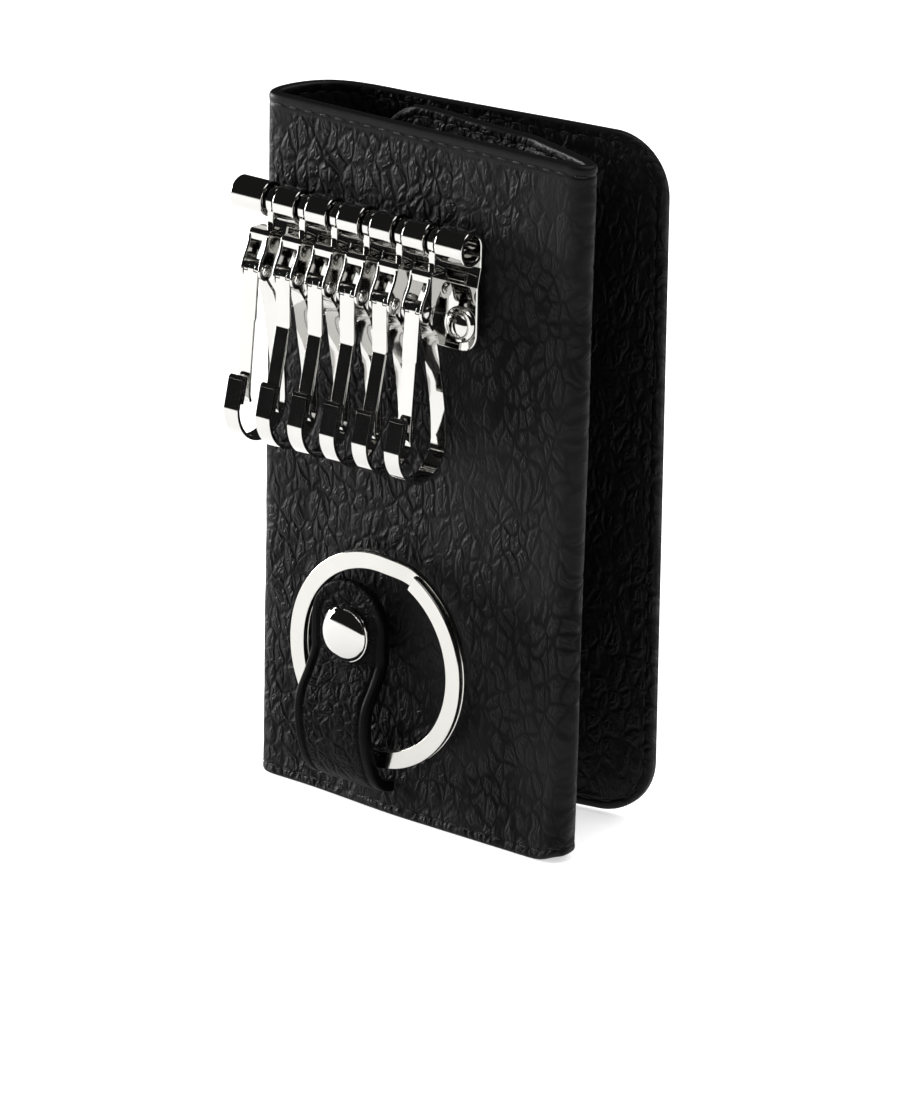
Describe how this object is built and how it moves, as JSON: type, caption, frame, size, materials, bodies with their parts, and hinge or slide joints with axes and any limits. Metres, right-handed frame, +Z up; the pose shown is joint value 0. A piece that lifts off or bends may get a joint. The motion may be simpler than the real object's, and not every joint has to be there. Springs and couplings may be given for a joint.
{
  "type": "folding key case",
  "caption": "Black pebbled leather key case folded open, with a slotted nickel rail of spring-gate hooks and a strap that holds a split ring.",
  "frame": {"origin": "middle of the underside of the bounding box: the lower leather edges stand on Z 0", "axes": "+Z up the 110 mm height of the case, +X along the panel from the left spine to the tight right fold, -Y the way the hooks and the ring face"},
  "size_m": [0.0672, 0.0324, 0.11],
  "materials": {
    "cover_leather": "pebbled cover leather, near-black, soft sheen",
    "lining_leather": "pebbled lining leather with fine creases, near-black",
    "strap_leather": "crackled smooth leather with polished edges",
    "bright_nickel": "bright nickel plate",
    "plain_steel": "nickel-plated steel, satin",
    "ring_steel": "flat spring-steel wire, lightly polished"
  },
  "bodies": {
    "case": {"panel_leather": "cover_leather", "panel_lining": "lining_leather", "hook_rail": "bright_nickel", "hook_rod": "plain_steel", "rail_rivet_left": "bright_nickel", "rail_rivet_right": "bright_nickel", "rivet_washer_left": "plain_steel", "rivet_washer_right": "plain_steel", "snap_stud": "plain_steel", "snap_washer": "plain_steel"},
    "spine_1": {"spine_1_leather": "cover_leather", "spine_1_lining": "lining_leather"},
    "spine_2": {"spine_2_leather": "cover_leather", "spine_2_lining": "lining_leather"},
    "spine_3": {"spine_3_leather": "cover_leather", "spine_3_lining": "lining_leather"},
    "spine_4": {"spine_4_leather": "cover_leather", "spine_4_lining": "lining_leather"},
    "outer_flap": {"outer_flap_leather": "cover_leather", "outer_flap_lining": "lining_leather", "closure_cap": "bright_nickel", "closure_socket": "plain_steel"},
    "gusset": {"gusset_leather": "cover_leather", "gusset_lining": "lining_leather"},
    "inner_flap": {"inner_flap_leather": "cover_leather", "inner_flap_lining": "lining_leather", "closure_stud": "plain_steel", "closure_washer": "plain_steel"},
    "swing_1": {"hanger_1": "plain_steel", "hook_pin_1": "plain_steel"},
    "swing_2": {"hanger_2": "plain_steel", "hook_pin_2": "plain_steel"},
    "swing_3": {"hanger_3": "plain_steel", "hook_pin_3": "plain_steel"},
    "swing_4": {"hanger_4": "plain_steel", "hook_pin_4": "plain_steel"},
    "swing_5": {"hanger_5": "plain_steel", "hook_pin_5": "plain_steel"},
    "swing_6": {"hanger_6": "plain_steel", "hook_pin_6": "plain_steel"},
    "key_hook_1": {"hook_1": "bright_nickel"},
    "key_hook_2": {"hook_2": "bright_nickel"},
    "key_hook_3": {"hook_3": "bright_nickel"},
    "key_hook_4": {"hook_4": "bright_nickel"},
    "key_hook_5": {"hook_5": "bright_nickel"},
    "key_hook_6": {"hook_6": "bright_nickel"},
    "gate_1": {"hook_gate_1": "plain_steel"},
    "gate_2": {"hook_gate_2": "plain_steel"},
    "gate_3": {"hook_gate_3": "plain_steel"},
    "gate_4": {"hook_gate_4": "plain_steel"},
    "gate_5": {"hook_gate_5": "plain_steel"},
    "gate_6": {"hook_gate_6": "plain_steel"},
    "strap": {"ring_strap": "strap_leather", "snap_cap": "bright_nickel", "snap_socket": "plain_steel"},
    "ring": {"split_ring": "ring_steel"}
  },
  "joints": [
    {"name": "spine_crease_1", "type": "hinge", "parent": "case", "child": "spine_1", "pos_m": [-0.02929, -0.00113, 0], "axis": [0, 0, 1], "range_deg": [0, 43.2]},
    {"name": "spine_crease_2", "type": "hinge", "parent": "spine_1", "child": "spine_2", "pos_m": [-0.03243, 0.00181, 0], "axis": [0, 0, 1], "range_deg": [0, 43.2]},
    {"name": "spine_crease_3", "type": "hinge", "parent": "spine_2", "child": "spine_3", "pos_m": [-0.0327, 0.00611, 0], "axis": [0, 0, 1], "range_deg": [0, 43.2]},
    {"name": "spine_crease_4", "type": "hinge", "parent": "spine_3", "child": "spine_4", "pos_m": [-0.02996, 0.00942, 0], "axis": [0, 0, 1], "range_deg": [0, 43.2]},
    {"name": "outer_flap_crease", "type": "hinge", "parent": "spine_4", "child": "outer_flap", "pos_m": [-0.02232, 0.01038, 0], "axis": [0, 0, 1], "range_deg": [0, 82.3]},
    {"name": "right_fold", "type": "hinge", "parent": "case", "child": "gusset", "pos_m": [0.03176, -0.00008, 0], "axis": [0, 0, -1], "range_deg": [0, 252.2], "deforming": ["gusset_leather", "gusset_lining", "inner_flap_leather", "inner_flap_lining", "closure_stud", "closure_washer"]},
    {"name": "inner_flap_crease", "type": "hinge", "parent": "gusset", "child": "inner_flap", "pos_m": [0.01504, 0.00639, 0], "axis": [0, 0, -1], "range_deg": [0, 106.2]},
    {"name": "hanger_swing_1", "type": "hinge", "parent": "case", "child": "swing_1", "pos_m": [-0.02644, -0.00533, 0.0945], "axis": [1, 0, 0], "range_deg": [-80, 2]},
    {"name": "hook_tilt_1", "type": "hinge", "parent": "swing_1", "child": "key_hook_1", "pos_m": [-0.02644, -0.00998, 0.0848], "axis": [1, 0, 0], "range_deg": [-40, 2]},
    {"name": "gate_press_1", "type": "hinge", "parent": "key_hook_1", "child": "gate_1", "pos_m": [-0.02644, -0.00998, 0.0848], "axis": [1, 0, 0], "range_deg": [0, 12], "stiffness_Nm_per_rad": 0.01, "springref_deg": -5.73},
    {"name": "hanger_swing_2", "type": "hinge", "parent": "case", "child": "swing_2", "pos_m": [-0.02004, -0.00533, 0.0945], "axis": [1, 0, 0], "range_deg": [-80, 2]},
    {"name": "hook_tilt_2", "type": "hinge", "parent": "swing_2", "child": "key_hook_2", "pos_m": [-0.02004, -0.00998, 0.0848], "axis": [1, 0, 0], "range_deg": [-40, 2]},
    {"name": "gate_press_2", "type": "hinge", "parent": "key_hook_2", "child": "gate_2", "pos_m": [-0.02004, -0.00998, 0.0848], "axis": [1, 0, 0], "range_deg": [0, 12], "stiffness_Nm_per_rad": 0.01, "springref_deg": -5.73},
    {"name": "hanger_swing_3", "type": "hinge", "parent": "case", "child": "swing_3", "pos_m": [-0.01364, -0.00533, 0.0945], "axis": [1, 0, 0], "range_deg": [-80, 2]},
    {"name": "hook_tilt_3", "type": "hinge", "parent": "swing_3", "child": "key_hook_3", "pos_m": [-0.01364, -0.00998, 0.0848], "axis": [1, 0, 0], "range_deg": [-40, 2]},
    {"name": "gate_press_3", "type": "hinge", "parent": "key_hook_3", "child": "gate_3", "pos_m": [-0.01364, -0.00998, 0.0848], "axis": [1, 0, 0], "range_deg": [0, 12], "stiffness_Nm_per_rad": 0.01, "springref_deg": -5.73},
    {"name": "hanger_swing_4", "type": "hinge", "parent": "case", "child": "swing_4", "pos_m": [-0.00724, -0.00533, 0.0945], "axis": [1, 0, 0], "range_deg": [-80, 2]},
    {"name": "hook_tilt_4", "type": "hinge", "parent": "swing_4", "child": "key_hook_4", "pos_m": [-0.00724, -0.00998, 0.0848], "axis": [1, 0, 0], "range_deg": [-40, 2]},
    {"name": "gate_press_4", "type": "hinge", "parent": "key_hook_4", "child": "gate_4", "pos_m": [-0.00724, -0.00998, 0.0848], "axis": [1, 0, 0], "range_deg": [0, 12], "stiffness_Nm_per_rad": 0.01, "springref_deg": -5.73},
    {"name": "hanger_swing_5", "type": "hinge", "parent": "case", "child": "swing_5", "pos_m": [-0.00084, -0.00533, 0.0945], "axis": [1, 0, 0], "range_deg": [-80, 2]},
    {"name": "hook_tilt_5", "type": "hinge", "parent": "swing_5", "child": "key_hook_5", "pos_m": [-0.00084, -0.00998, 0.0848], "axis": [1, 0, 0], "range_deg": [-40, 2]},
    {"name": "gate_press_5", "type": "hinge", "parent": "key_hook_5", "child": "gate_5", "pos_m": [-0.00084, -0.00998, 0.0848], "axis": [1, 0, 0], "range_deg": [0, 12], "stiffness_Nm_per_rad": 0.01, "springref_deg": -5.73},
    {"name": "hanger_swing_6", "type": "hinge", "parent": "case", "child": "swing_6", "pos_m": [0.00556, -0.00533, 0.0945], "axis": [1, 0, 0], "range_deg": [-80, 2]},
    {"name": "hook_tilt_6", "type": "hinge", "parent": "swing_6", "child": "key_hook_6", "pos_m": [0.00556, -0.00998, 0.0848], "axis": [1, 0, 0], "range_deg": [-40, 2]},
    {"name": "gate_press_6", "type": "hinge", "parent": "key_hook_6", "child": "gate_6", "pos_m": [0.00556, -0.00998, 0.0848], "axis": [1, 0, 0], "range_deg": [0, 12], "stiffness_Nm_per_rad": 0.01, "springref_deg": -5.73},
    {"name": "strap_open", "type": "hinge", "parent": "case", "child": "strap", "pos_m": [-0.01074, -0.00338, 0.0049], "axis": [-1, 0, 0], "range_deg": [-70, 0]},
    {"name": "ring_turn", "type": "hinge", "parent": "case", "child": "ring", "pos_m": [-0.00484, -0.00548, 0.0259], "axis": [0, 1, 0], "continuous": true}
  ],
  "couplings": [
    {"joint": "inner_flap_crease", "follows": "right_fold", "ratio": 0.41911}
  ]
}
